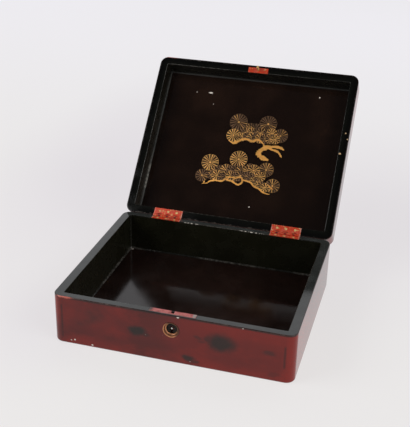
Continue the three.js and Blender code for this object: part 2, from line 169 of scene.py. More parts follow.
# Near-black steel: painted shade for the lock seen through the keyhole, and the tarnish of the pale pin
STEEL_DARK = (0.028, 0.025, 0.022, 1)
STEEL_RUST = (0.015, 0.012, 0.010, 1)
FLOOR_PALE = (0.792, 0.776, 0.770, 1)
FLOOR_COOL = (0.888, 0.874, 0.918, 1)
# The colour of the painted shadows on the floor
FLOOR_SHADOW = (0.735, 0.700, 0.740, 1)
BACKDROP_PALE = (0.820, 0.820, 0.850, 1)
CEILING_DARK = (0.050, 0.050, 0.055, 1)

# The studio: how much the floor glows and takes the light, its half size and where it is coolest,
# the lean of the backdrop, and where it ends and where the dark ceiling starts
FLOOR_GLOW = 0.85
FLOOR_SHADED = 0.25
FLOOR_HALF = 8
FLOOR_COOL_AT = 1.5
BACKDROP_LEAN = 0.4
BACKDROP_TOP = 0.45
CEILING_START = 0.75
SENSOR_MM = 36
# Painted shadows, where the studio floor is a little darker, by pixel of the photograph: place, half
# sizes in m, depth
PAINTED_SHADOWS = [
    ((125, 160), 0.13, 0.34, 0.80),
    ((380, 210), 0.16, 0.24, 0.55),
    ((38, 322), 0.07, 0.09, 0.45),
]
# The lights: name, place, size, power and the place that each one faces
BOX_MIDDLE = (0, 0.05, 0.05)
LIGHTS = [
    ("left_softbox", (-1.5, -0.9, 1.5), (1.4, 1.0), 22, BOX_MIDDLE),
    ("right_softbox", (1.6, -0.7, 1.5), (1.4, 1.0), 16, BOX_MIDDLE),
    ("strip_light", (-0.34, 0.866, 1.6), (0.56, 0.045), 0.26, (-0.34, 0.866, 0.0)),
]

# Where a look changes: a pair is where the change starts and where it is complete
FOOT_WEAR = (18 * MM, 2 * MM)
# Up the corners of the red: wear and painted highlight
CORNER_RUB_AND_HIGHLIGHT = (9 * MM, 3 * MM)
# Painted light on the red front: towards its right, its top and its right corner, on the front only
LIGHT_RIGHT = (-10 * MM, 70 * MM)
LIGHT_TOP = (30 * MM, 54 * MM)
LIGHT_CORNER = (16 * MM, 6 * MM)
LIGHT_FRONT = (0, -80 * MM)
RIM_LINE = (2.6 * MM, 1.2 * MM)
# The dark lines of painted shade and reflection near the front's corners
SHADE_LINE = (2.0 * MM, 0.3 * MM)
SHADE_LINE_FRONT = (0, -50 * MM)
SHADE_LINE_FADE = 4 * MM
RAIL_INSIDE = (3 * MM, LID_RAIL)
RAIL_SPECKS = (0.9 * MM, 0.3 * MM)
RAIL_SPECKS_IN = 1.4 * MM
RAIL_SPECKS_RIGHT = 100 * MM
# Painted light on the left inner walls of the base and the lid
LEFT_WALL_BAND = (4 * MM, 2 * MM)
# Wear and painted highlight on the lid's fillet
FILLET_BAND = (3 * MM, 1 * MM)
FILLET_BACK = (5 * MM, 60 * MM)
FILLET_LEFT = (10 * MM, -110 * MM)
# Where the painted highlight at a plate's end starts and is complete
PLATE_END_HIGHLIGHT = (1.6 * MM, 0.6 * MM)
# Where the painted shade in the ring's groove starts and is complete
RING_GROOVE = (0.65 * MM, 0.25 * MM)
RING_GROOVE_IN = 1.4 * MM

# Roughness, from the smoothest places to the dullest
RED_SHEEN = (0.03, 0.09)
RIM_SHEEN = (0.05, 0.14)
RAIL_SHEEN = (0.06, 0.16)
WALL_SHEEN = (0.20, 0.35)
FLOOR_SHEEN = (0.095, 0.145)
PANEL_SHEEN = (0.04, 0.08)
EDGE_SHEEN = (0.12, 0.35)
FILLET_SHEEN = (0.55, 0.60)
LEAF_SHEEN = (0.28, 0.50)
RING_SHEEN = (0.27, 0.47)
GOLD_SHEEN = (0.40, 0.55)

# How far marks reach through the surface that they are drawn on
CLOUD_REACH = 8 * MM
MARK_REACH = 3 * MM
CHIP_REACH = 2 * MM
# Dark clouds on the red front, by pixel: place, half width and half height in mm, depth
CLOUDS = [
    ((137, 330.7), 9.5, 5.2, 0.92),
    ((145, 334.8), 5.0, 2.4, 0.55),
    ((131, 328.5), 5.0, 2.4, 0.40),
    ((221.5, 343.6), 14.5, 9.4, 0.90),
    ((211, 340), 8.0, 4.6, 0.60),
    ((198, 338.5), 4.5, 2.2, 0.45),
    ((202, 342.5), 4.5, 2.0, 0.40),
    ((188, 357.5), 6.5, 3.2, 0.85),
    ((194, 361), 4.5, 2.2, 0.60),
    ((269, 353), 6.0, 2.8, 0.50),
    ((274, 374), 6.0, 3.0, 0.30),
]
# The rubbed place on the rim at the front left corner
CORNER_WEAR_PIXEL = (63.5, 295.5)
CORNER_WEAR_RADII = (8.5 * MM, MARK_REACH, 1.7 * MM)
# Chips in the red front, by pixel: half height in mm, and their width as a share of their height
FRONT_CHIPS = [
    ((75, 339.5), 0.9),
    ((71.5, 339.8), 0.6),
    ((92.5, 345), 0.9),
    ((177.8, 317.4), 1.15),
    ((243, 328.5), 0.8),
]
FRONT_CHIP_SHAPE = 1.15
# Dark lines up the front near its rounded corners, painted shade and dark reflection: place, then the
# lowest and highest point in mm
SHADE_LINES = [
    ((286, 343), 16, 46),
    ((61.6, 310), 6, 50),
]
# Chips in the panel, the rails and the floor, by pixel: place, half width and half depth in mm
PANEL_CHIPS = [
    ((211, 92.8), 2.6, 1.0),
    ((197, 92), 0.55, 0.6),
    ((213.4, 104), 0.55, 0.5),
    ((319.8, 97.7), 0.9, 0.9),
    ((249, 207), 0.7, 0.7),
]
RAIL_CHIPS = [
    ((339.7, 153.7), 1.4, 1.2),
    ((345.8, 133.4), 0.8, 0.8),
    ((347.4, 139.5), 0.8, 0.8),
    ((335.9, 111.9), 0.9, 0.9),
    ((348.9, 89), 0.9, 0.9),
]
FLOOR_CHIPS = [
    ((132, 248.6), 2.2, 1.6),
    ((296, 272), 0.8, 0.7),
    ((302, 273.5), 1.2, 0.8),
    ((308, 274.5), 0.8, 0.7),
]
# Paler brown patches on the panel, by pixel: place, half width and half depth in mm, strength
PANEL_PATCHES = [
    ((210, 100), 26, 17, 0.5),
    ((327, 132), 9, 6, 0.3),
    ((325.5, 131), 2.6, 1.6, 0.9),
    ((321.5, 134.5), 1.8, 1.2, 0.9),
    ((328.5, 125.5), 1.4, 1.6, 0.9),
]
# Marks on the lock's plate, by pixel: place, half width and half depth in mm, colour; the first is
# painted shade in its slot
PLATE_SHADE_AND_MARKS = [
    ((173.4, 311.2), 1.7, 3.4, PLATE_SLOT_SHADE),
    ((148.2, 307.4), 5.0, 6.0, PLATE_DULL),
    ((194.8, 315.6), 1.6, 5.0, PLATE_GREY),
]
# Pale stretches on the inner edge of the rim, by pixel: place, half width in mm
RIM_PALE_STRETCHES = [
    ((251, 232), 13),
    ((191, 223.5), 8),
]
# Knuckles in a hinge, and the painted shade across them: half height, reach, height over the
# pin's middle, and half width as a share of a knuckle
KNUCKLE_COUNT = 7
KNUCKLE_SHADE = 0.8 * MM
KNUCKLE_SHADE_REACH = 5 * MM
KNUCKLE_SHADE_UP = 0.9 * MM
KNUCKLE_SHADE_SHARE = 0.34


def toned(colour, share):
    """A colour made darker or lighter."""
    return tuple(share * part for part in colour[:3]) + (1,)


# Node helpers

class Nodes:
    """The node tree of a material or the world, with short calls for the nodes used here."""

    def __init__(self, owner, output, shader, place):
        self.owner = owner
        owner.use_nodes = True
        self.tree = owner.node_tree
        self.tree.nodes.clear()
        self.shader = self.add(shader)
        self.output = self.add(output, {"Surface": self.shader.outputs[0]})
        if place == CLOSED_PLACE:
            source = self.add("ShaderNodeAttribute")
            source.attribute_name = CLOSED_PLACE
            self.place = source.outputs["Vector"]
        else:
            self.place = self.add("ShaderNodeTexCoord").outputs[place]
        self.x, self.y, self.z = self.add("ShaderNodeSeparateXYZ", {0: self.place}).outputs

    def fill(self, node, inputs):
        """Gives inputs, by name or number, their values or links."""
        for key, value in inputs.items():
            if isinstance(value, bpy.types.NodeSocket):
                self.tree.links.new(value, node.inputs[key])
            else:
                node.inputs[key].default_value = value
        return node

    def add(self, kind, inputs=None):
        return self.fill(self.tree.nodes.new(kind), inputs or {})

    def noise(self, scale, detail=3.0, roughness=0.55, stretch=None):
        place = self.place
        if stretch:
            place = self.add("ShaderNodeMapping", {"Scale": stretch, "Vector": place}).outputs[0]
        inputs = {"Vector": place, "Scale": scale, "Detail": detail, "Roughness": roughness}
        return self.add("ShaderNodeTexNoise", inputs).outputs[0]

    def math(self, operation, a, b=0.0, clamp=False):
        node = self.add("ShaderNodeMath", {0: a, 1: b})
        node.operation = operation
        node.use_clamp = clamp
        return node.outputs[0]

    def times(self, a, b):
        return self.math("MULTIPLY", a, b)

    def most(self, a, b):
        return self.math("MAXIMUM", a, b)

    def apart(self, a, b):
        return self.size_of(self.math("SUBTRACT", a, b))

    def ramp(self, value, low, high, out_low=0.0, out_high=1.0):
        node = self.add("ShaderNodeMapRange", {"Value": value, "From Min": low, "From Max": high})
        node.interpolation_type = "SMOOTHSTEP"
        self.fill(node, {"To Min": out_low, "To Max": out_high})
        return node.outputs[0]

    def mix(self, factor, a, b):
        node = self.add("ShaderNodeMix")
        node.data_type = "RGBA"
        return self.fill(node, {"Factor": factor, "A": a, "B": b}).outputs["Result"]

    def size_of(self, value):
        return self.math("ABSOLUTE", value)

    def vectors(self, operation, *values):
        node = self.add("ShaderNodeVectorMath", dict(enumerate(values)))
        node.operation = operation
        return node

    def warped(self, scale, amount):
        """The place pushed about by noise, so that what is drawn on it has an uneven edge."""
        noise = self.add("ShaderNodeTexNoise", {"Scale": scale, "Detail": 3, "Vector": self.place})
        centred = self.vectors("SUBTRACT", noise.outputs["Color"], (0.5, 0.5, 0.5))
        return self.vectors("MULTIPLY_ADD", centred.outputs[0], (amount,) * 3, self.place).outputs[0]

    def spot(self, centre, radii, softness=0.5, place=None):
        """1 inside an ellipsoid at a place on the object, falling to 0 across its edge."""
        offset = self.vectors("SUBTRACT", place or self.place, centre)
        scaled = self.vectors("DIVIDE", offset.outputs[0], radii)
        length = self.vectors("LENGTH", scaled.outputs[0])
        return self.ramp(length.outputs["Value"], 1.0 - softness, 1.0 + softness, 1.0, 0.0)

    def bump(self, height, strength, distance):
        inputs = {"Strength": strength, "Distance": distance, "Height": height}
        node = self.add("ShaderNodeBump", inputs)
        self.fill(self.shader, {"Normal": node.outputs[0]})

    def finish(self, colour, roughness, metallic=0.0):
        self.fill(self.shader, {"Base Color": colour, "Roughness": roughness, "Metallic": metallic})
        return self.owner


def material_nodes(name, place="Object"):
    material = bpy.data.materials.new(name)
    return Nodes(material, "ShaderNodeOutputMaterial", "ShaderNodeBsdfPrincipled", place)


# Points of the photograph on the planes of the object

def camera_axes():
    forward = Vector((
        -math.sin(CAMERA_AZIMUTH) * math.cos(CAMERA_ELEVATION),
        math.cos(CAMERA_AZIMUTH) * math.cos(CAMERA_ELEVATION),
        -math.sin(CAMERA_ELEVATION),
    ))
    level_right = Vector((math.cos(CAMERA_AZIMUTH), math.sin(CAMERA_AZIMUTH), 0))
    level_up = level_right.cross(forward)
    right = math.cos(CAMERA_ROLL) * level_right + math.sin(CAMERA_ROLL) * level_up
    up = -math.sin(CAMERA_ROLL) * level_right + math.cos(CAMERA_ROLL) * level_up
    return forward, right, up


def seen_on(pixel, point, normal):
    """Where the camera sees a pixel of the photograph on a plane."""
    forward, right, up = camera_axes()
    ray = forward + right * ((pixel[0] - PHOTO_WIDTH / 2) / FOCAL_PX)
    ray = ray - up * ((pixel[1] - PHOTO_HEIGHT / 2) / FOCAL_PX)
    distance = (point - CAMERA_PLACE).dot(normal) / ray.dot(normal)
    return CAMERA_PLACE + ray * distance


def on_lid(pixel, z):
    """A pixel of the photograph as a place at a height in the lid, with the lid shut."""
    normal = OPENING.to_3x3() @ Vector((0, 0, -1))
    return OPENING.inverted() @ seen_on(pixel, OPENING @ Vector((0, 0, z)), normal)


def on_panel(pixel):
    return on_lid(pixel, PANEL_Z)


def on_rail(pixel):
    return on_lid(pixel, LID_RIM_Z)


def on_front(pixel):
    return seen_on(pixel, Vector((0, -HALF_DEPTH, 0)), Vector((0, -1, 0)))


def on_level(pixel, z):
    return seen_on(pixel, Vector((0, 0, z)), Vector((0, 0, 1)))


def on_rim(pixel):
    return on_level(pixel, RIM_Z)


def on_floor(pixel):
    return on_level(pixel, FLOOR_Z)


def placed(on_plane, rows):
    """Rows of marks, with places on the object for their pixels."""
    return [(on_plane(pixel), *sizes) for pixel, *sizes in rows]


# Meshes

def new_object(name, data):
    obj = bpy.data.objects.new(name, data)
    bpy.context.scene.collection.objects.link(obj)
    return obj


def new_mesh(name, shape):
    mesh = bpy.data.meshes.new(name)
    shape.to_mesh(mesh)
    shape.free()
    return mesh


def add_object(name, mesh, body):
    obj = new_object(name, mesh)
    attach(obj, body)
    return obj


def rounded_ring(inset, radius, z, extra_y=0.0):
    """Points round a rectangle with rounded corners, inset from the outside of the box."""
    half_x = HALF_WIDTH - inset
    half_y = HALF_DEPTH - inset - extra_y
    points = []
    for corner in range(4):
        sign_x = 1 if corner in (0, 3) else -1
        sign_y = 1 if corner < 2 else -1
        for step in range(CORNER_STEPS + 1):
            angle = math.pi / 2 * (corner + step / CORNER_STEPS)
            points.append(Vector((
                sign_x * (half_x - radius) + radius * math.cos(angle),
                sign_y * (half_y - radius) + radius * math.sin(angle),
                z,
            )))
    return points


def add_face(shape, corners, slot):
    face = shape.faces.new(corners)
    face.material_index = slot


def ring_mesh(name, rings, zones):
    """A solid from rings, each strip and both caps with the material slot of its zone."""
    shape = bmesh.new()
    loops = [[shape.verts.new(point) for point in ring] for ring in rings]
    count = len(loops[0])
    add_face(shape, loops[0][::-1], zones[0])
    for lower, upper, zone in zip(loops, loops[1:], zones[1:-1]):
        for i in range(count):
            j = (i + 1) % count
            add_face(shape, (lower[i], lower[j], upper[j], upper[i]), zone)
    add_face(shape, loops[-1], zones[-1])
    return new_mesh(name, shape)


def quarter(steps, size):
    """Pairs along a rounded edge: how far past its first face, and how far in from the side."""
    angles = [math.pi / 2 * i / steps for i in range(steps + 1)]
    return [(size * (1 - math.cos(angle)), size * (1 - math.sin(angle))) for angle in angles]


def box_cutter(shape, low, high, turn=None):
    made = bmesh.ops.create_cube(shape, size=1)
    size = Vector(high) - Vector(low)
    middle = (Vector(high) + Vector(low)) / 2
    bmesh.ops.scale(shape, vec=size, verts=made["verts"])
    bmesh.ops.translate(shape, vec=middle, verts=made["verts"])
    if turn is not None:
        bmesh.ops.transform(shape, matrix=turn, verts=made["verts"])


def rod_cutter(shape, axis, radius, start, end, sides=32):
    """A round cutter along X or Y between two points."""
    length = (Vector(end) - Vector(start)).length
    made = bmesh.ops.create_cone(
        shape, cap_ends=True, segments=sides, radius1=radius, radius2=radius, depth=length
    )
    turn = Matrix.Rotation(math.pi / 2, 4, "Y" if axis == "X" else "X")
    middle = (Vector(start) + Vector(end)) / 2
    bmesh.ops.transform(shape, matrix=Matrix.Translation(middle) @ turn, verts=made["verts"])


def cut(obj, cutters):
    """Takes cutters out of an object one at a time and keeps the result as its mesh."""
    for number, (make_cutter, *sizes) in enumerate(cutters):
        shape = bmesh.new()
        make_cutter(shape, *sizes)
        mesh = new_mesh(f"cutter_{number}", shape)
        cutter = new_object(f"cutter_{number}", mesh)
        for material in obj.data.materials:
            mesh.materials.append(material)
        for face in mesh.polygons:
            face.material_index = len(mesh.materials) - 1
        modifier = obj.modifiers.new("cut", "BOOLEAN")
        modifier.operation = "DIFFERENCE"
        modifier.solver = "EXACT"
        modifier.object = cutter
        bpy.context.view_layer.update()
        graph = bpy.context.evaluated_depsgraph_get()
        result = bpy.data.meshes.new_from_object(obj.evaluated_get(graph))
        obj.modifiers.clear()
        obj.data = result
        bpy.data.objects.remove(cutter)


def keep_closed_place(obj):
    """Keeps each point's place with the lid shut, which the lacquer's pattern follows."""
    mesh = obj.data
    attribute = mesh.attributes.new(CLOSED_PLACE, "FLOAT_VECTOR", "POINT")
    for vertex, value in zip(mesh.vertices, attribute.data):
        value.vector = vertex.co


def smooth_lacquer(obj):
    for face in obj.data.polygons:
        face.use_smooth = True
    obj.data.set_sharp_from_angle(angle=LACQUER_CREASE)
    weighted = obj.modifiers.new("even_normals", "WEIGHTED_NORMAL")
    weighted.keep_sharp = True
    weighted.weight = 80


# Materials

def red_lacquer():
    """Brownish red over black: brighter where it is rubbed and where light is painted on, with dark
    clouds and chips, and dark lines of painted shade and reflection by the corners.
    """
    n = material_nodes("red_lacquer", CLOSED_PLACE)
    broad = n.noise(11, 3, 0.5, stretch=(1, 1, 1.8))
    mottle = n.noise(85, 4, 0.6, stretch=(0.6, 0.6, 1.2))
    colour = n.mix(n.ramp(broad, 0.34, 0.66), RED_DEEP, RED_MID)
    colour = n.mix(n.ramp(mottle, 0.46, 0.74, 0.0, 0.35), colour, RED_BRIGHT)
    # Brighter red from wear round the foot, and from wear and painted highlight up the corners
    colour = n.mix(rubbed_and_highlit_red(n), colour, RED_BRIGHT)
    # Painted light: brighter red on the upper right of the front and on its right corner
    colour = n.mix(painted_light_red(n), colour, RED_BRIGHT)
    colour = n.mix(dark_clouds(n), colour, CLOUD)
    colour = n.mix(n.ramp(n.apart(n.z, RIM_Z), *RIM_LINE, 0.0, 0.8), colour, RED_LINE)
    # Painted shade and dark reflection: dark lines up the front near its rounded corners
    for pixel, low, high in SHADE_LINES:
        line = painted_shade_line(n, on_front(pixel).x, low * MM, high * MM)
        colour = n.mix(n.times(line, n.ramp(broad, 0.25, 0.5)), colour, RED_LINE)
    chips = n.ramp(n.noise(260, 2), 0.80, 0.83)
    for pixel, half_z in FRONT_CHIPS:
        radii = (FRONT_CHIP_SHAPE * half_z * MM, MARK_REACH, half_z * MM)
        chips = n.most(chips, n.spot(on_front(pixel), radii, 0.3))
    colour = corner_wear(n, n.mix(chips, colour, CHIP_PALE))
    n.bump(n.noise(900, 2), 0.03, 0.02 * MM)
    n.shader.inputs["IOR"].default_value = 1.42
    return n.finish(colour, n.ramp(n.noise(120, 3), 0.3, 0.8, *RED_SHEEN))


def rubbed_and_highlit_red(n):
    """Brighter patches round the foot, from wear, and up the corners, from wear and a painted highlight.
    """
    foot = n.ramp(n.z, *FOOT_WEAR, 0.0, 0.80)
    corner_x = n.ramp(n.size_of(n.x), HALF_WIDTH - CORNER_RUB_AND_HIGHLIGHT[0], HALF_WIDTH - CORNER_RUB_AND_HIGHLIGHT[1])
    corner_y = n.ramp(n.size_of(n.y), HALF_DEPTH - CORNER_RUB_AND_HIGHLIGHT[0], HALF_DEPTH - CORNER_RUB_AND_HIGHLIGHT[1])
    patches = n.ramp(n.noise(26, 3), 0.35, 0.62, 0.15, 0.9)
    return n.times(n.most(foot, n.times(corner_x, corner_y)), patches)


def painted_light_red(n):
    """Painted light on the upper right of the front and on its right corner."""
    right_top = n.times(n.ramp(n.x, *LIGHT_RIGHT), n.ramp(n.z, *LIGHT_TOP))
    start = HALF_WIDTH - LIGHT_CORNER[0]
    corner = n.ramp(n.x, start, HALF_WIDTH - LIGHT_CORNER[1], 0.0, 0.8)
    return n.times(n.most(n.times(right_top, 0.50), corner), n.ramp(n.y, *LIGHT_FRONT))


def dark_clouds(n):
    clouds = n.ramp(n.noise(15, 3, 0.5, stretch=(1, 1, 1.7)), 0.66, 0.78, 0.0, 0.5)
    uneven = n.warped(70, 9 * MM)
    for pixel, half_x, half_z, depth in CLOUDS:
        radii = (half_x * MM, CLOUD_REACH, half_z * MM)
        clouds = n.most(clouds, n.times(n.spot(on_front(pixel), radii, 0.5, uneven), depth))
    return clouds


def painted_shade_line(n, x, low, high):
    """A dark line of painted shade and reflection up the front, fading at both ends."""
    line = n.ramp(n.apart(n.x, x), *SHADE_LINE, 0.0, 0.62)
    line = n.times(line, n.ramp(n.z, low, low + SHADE_LINE_FADE))
    line = n.times(line, n.ramp(n.z, high, high - SHADE_LINE_FADE))
    return n.times(line, n.ramp(n.y, *SHADE_LINE_FRONT))


def corner_wear(n, colour):
    """The rubbed place on the rim at the front left corner."""
    place = (on_front(CORNER_WEAR_PIXEL).x, -HALF_DEPTH, RIM_Z)
    return n.mix(n.spot(place, CORNER_WEAR_RADII, 0.4, n.warped(500, 2.5 * MM)), colour, CORNER_WEAR)


def hazy(n, tint, share):
    """A tint with a faint lighter haze."""
    return n.mix(n.ramp(n.noise(20, 4, 0.6), 0.38, 0.70), tint, toned(tint, share))


def chipped(n, marks, chips):
    """Marks, with uneven chips added at given places."""
    for place, wide, deep in chips:
        radii = (wide * MM, deep * MM, CHIP_REACH)
        marks = n.most(marks, n.spot(place, radii, 0.35, n.warped(600, 1.2 * MM)))
    return marks


def polished(n, colour, wave, sheen):
    """A lacquer surface that is almost even, and duller in some places than in others."""
    n.bump(n.noise(45, 3), wave, 0.10 * MM)
    return n.finish(colour, n.ramp(n.noise(40, 4), 0.3, 0.75, *sheen))


def black_lacquer(name, tint, sheen, chips=(), patches=()):
    """Deep black with a faint haze, a few specks, and chips and paler patches at given places."""
    n = material_nodes(name, CLOSED_PLACE)
    colour = hazy(n, tint, 1.7)
    for place, wide, deep, strength in patches:
        radii = (wide * MM, deep * MM, MARK_REACH)
        patch = n.spot(place, radii, 0.6, n.warped(60, 0.5 * wide * MM))
        colour = n.mix(n.times(patch, strength), colour, toned(tint, 2.8))
    marks = chipped(n, n.ramp(n.noise(300, 2), 0.83, 0.85, 0.0, 0.5), chips)
    return polished(n, n.mix(marks, colour, CHIP_PALE), 0.02, sheen)


def rail_lacquer(chips):
    """Near black, a little lighter towards the inside, with a broken line of specks by the outside."""
    n = material_nodes("rail_black", CLOSED_PLACE)
    from_side = n.math("SUBTRACT", HALF_WIDTH, n.size_of(n.x))
    from_front = n.math("SUBTRACT", HALF_DEPTH, n.size_of(n.y))
    from_outside = n.math("MINIMUM", from_side, from_front)
    colour = n.mix(n.ramp(from_outside, *RAIL_INSIDE), RAIL_BLACK, BLACK_GREEN)
    line = n.ramp(n.apart(from_outside, RAIL_SPECKS_IN), *RAIL_SPECKS, 0.0, 0.5)
    line = n.times(line, n.ramp(n.noise(330, 2), 0.52, 0.66))
    line = n.times(line, n.ramp(n.x, 0.0, RAIL_SPECKS_RIGHT, 1.0, 0.3))
    marks = chipped(n, n.ramp(n.noise(300, 2), 0.80, 0.83, 0.0, 0.4), chips)
    colour = n.mix(marks, n.mix(line, colour, WORN_GREY), CHIP_TAN)
    return polished(n, colour, 0.04, RAIL_SHEEN)


def wall_lacquer(name, tint, lighter, near, far):
    """The inner walls, with painted light on the left one, strongest where its Y lies towards far."""
    n = material_nodes(name, CLOSED_PLACE)
    inner_x = LID_RAIL - HALF_WIDTH
    left = n.ramp(n.x, inner_x + LEFT_WALL_BAND[0], inner_x + LEFT_WALL_BAND[1])
    left = n.times(left, n.ramp(n.y, near, far, 0.15, 1.0))
    # Painted light on the left wall
    colour = n.mix(left, hazy(n, tint, 1.5), lighter)
    colour = n.mix(n.ramp(n.noise(300, 2), 0.83, 0.85, 0.0, 0.4), colour, CHIP_PALE)
    return polished(n, colour, 0.04, WALL_SHEEN)


def edge_wear_and_highlight(name, base, worn, amount, corner=False, sheen=EDGE_SHEEN, bright=()):
    """A rounded edge, paler in uneven stretches: rubbed through, and on the lid also painted highlight;
    amount is a share, or a function that draws it.
    """
    n = material_nodes(name, CLOSED_PLACE)
    if callable(amount):
        amount = amount(n)
    stretches = n.ramp(n.noise(16, 2, 0.5), 0.40, 0.60, 0.1, 1.0)
    grain = n.noise(190, 4, 0.7)
    rub = n.times(stretches, n.ramp(grain, 0.36, 0.66, 0.15, 1.0))
    # Paler in uneven stretches: wear, and on the lid's inner edge and fillet painted highlight too
    colour = n.mix(n.times(rub, amount), base, worn)
    if corner:
        colour = corner_wear(n, colour)
    for place, wide in bright:
        spot = n.spot(place, (wide * MM, MARK_REACH, MARK_REACH), 0.4)
        colour = n.mix(n.times(spot, n.ramp(n.noise(330, 3), 0.44, 0.56)), colour, CHIP_PALE)
    n.bump(grain, 0.15, 0.10 * MM)
    return n.finish(colour, n.ramp(rub, 0.0, 1.0, *sheen))


def lid_inner_wear_and_highlight(n):
    """Wear and painted highlight: most on the left rail and least on the right one."""
    return n.ramp(n.x, -HALF_WIDTH, HALF_WIDTH, 0.85, 0.20)


def lid_fillet_wear_and_highlight(n):
    """Wear and painted highlight: strong on the left towards the hinges, faint along the front rail and
    none at its right.
    """
    inner_x = LID_RAIL - HALF_WIDTH
    left = n.ramp(n.x, inner_x + FILLET_BAND[0], inner_x + FILLET_BAND[1])
    left = n.times(left, n.ramp(n.y, *FILLET_BACK, 0.02, 1.0))
    return n.most(left, n.ramp(n.x, *FILLET_LEFT, 0.0, 0.06))


def raw_wood():
    n = material_nodes("bare_wood")
    grain = n.noise(90, 5, 0.6, stretch=(0.2, 1, 1))
    return n.finish(n.mix(grain, BARE_WOOD, toned(BARE_WOOD, 0.4)), 0.8)


def knuckle_shade(boxes):
    """Painted shade across the knuckles of the base's leaves."""
    shade_and_marks = []
    for low, high in boxes:
        pitch = (high.x - low.x) / KNUCKLE_COUNT
        radii = (KNUCKLE_SHADE_SHARE * pitch, KNUCKLE_SHADE_REACH, KNUCKLE_SHADE)
        for i in range(1, KNUCKLE_COUNT, 2):
            place = HINGE_PLACE + Vector((low.x + (i + 0.5) * pitch, 0, KNUCKLE_SHADE_UP))
            shade_and_marks.append((place, radii, HINGE_SHADE))
    return shade_and_marks


def highlit_ends(n, low, high):
    """Painted highlights at both ends of a plate that reaches from one X to another, unevenly."""
    half = (high - low) / 2
    away = n.apart(n.x, (low + high) / 2)
    end = n.ramp(away, half - PLATE_END_HIGHLIGHT[0], half - PLATE_END_HIGHLIGHT[1])
    end = n.math("SUBTRACT", end, n.ramp(away, half, half + MM))
    return n.math("MULTIPLY", end, n.ramp(n.noise(600, 2), 0.35, 0.60, 0.0, 0.55), clamp=True)


def lacquered_metal(name, base, highlight, worn, boxes=(), shade_and_marks=()):
    """Worn red on brass, with painted highlights at the ends of the plates in boxes, and marks at given
    places, painted shade among them.
    """
    n = material_nodes(name)
    patch = n.noise(160, 4, 0.65)
    colour = n.mix(n.ramp(patch, 0.42, 0.62), base, highlight)
    colour = n.mix(n.ramp(n.noise(420, 3), 0.60, 0.68), colour, worn)
    for low, high in boxes:
        # Painted highlights at the ends of the hinge leaves
        colour = n.mix(highlit_ends(n, low.x, high.x), colour, END_HIGHLIGHT)
    # Marks at given places: painted shade across the knuckles and in the plate's slot, and dull and pale
    # patches
    for place, radii, mark_colour in shade_and_marks:
        colour = n.mix(n.spot(place, radii, 0.3, n.warped(500, MM)), colour, mark_colour)
    n.bump(n.noise(500, 3), 0.2, 0.05 * MM)
    return n.finish(colour, n.ramp(patch, 0.3, 0.7, *LEAF_SHEEN), metallic=0.25)


def bare_metal(n, colour, tarnish, sheen, metallic):
    """A finely pitted surface, duller where it is tarnished."""
    n.bump(n.noise(700, 3), 0.2, 0.04 * MM)
    return n.finish(colour, n.ramp(tarnish, 0.3, 0.7, *sheen), metallic=metallic)


def plain_metal(name, base, dark, roughness, metallic=0.9):
    n = material_nodes(name)
    tarnish = n.noise(240, 4, 0.6)
    colour = n.mix(n.ramp(tarnish, 0.45, 0.7), base, dark)
    return bare_metal(n, colour, tarnish, (roughness - 0.08, roughness + 0.12), metallic)


def ring_copper():
    """Painted shade in the groove behind the lip and towards the upper right, which leaves it bright low
    on the left.
    """
    n = material_nodes("copper_ring")
    low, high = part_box("keyhole_ring")
    middle = (low + high) / 2
    radius = high.z - middle.z
    across = n.math("SUBTRACT", n.x, middle.x)
    up = n.math("SUBTRACT", n.z, middle.z)
    away = n.math("SQRT", n.math("ADD", n.times(across, across), n.times(up, up)))
    groove = n.ramp(n.apart(away, radius - RING_GROOVE_IN), *RING_GROOVE, 0.0, 0.75)
    upper_right = n.ramp(n.math("ADD", across, up), -0.55 * radius, 0.65 * radius, 0.0, 0.92)
    tarnish = n.noise(240, 4, 0.6)
    colour = n.mix(n.ramp(tarnish, 0.50, 0.72), COPPER, COPPER_DARK)
    # Painted shade in the groove and towards the upper right
    colour = n.mix(n.most(groove, upper_right), colour, toned(COPPER_DARK, 0.35))
    return bare_metal(n, colour, tarnish, RING_SHEEN, 0.4)


def gold_work(name, bright, dull_share):
    """Sprinkled gold: fine grains over a duller ground."""
    n = material_nodes(name)
    dull = toned(bright, dull_share)
    grain = n.noise(1500, 2)
    colour = n.mix(n.ramp(n.noise(130, 4, 0.6), 0.30, 0.60), dull, bright)
    colour = n.mix(n.ramp(grain, 0.60, 0.75, 0.0, 0.5), colour, dull)
    n.bump(grain, 0.1, 0.02 * MM)
    return n.finish(colour, n.ramp(grain, 0.3, 0.7, *GOLD_SHEEN), metallic=0.85)


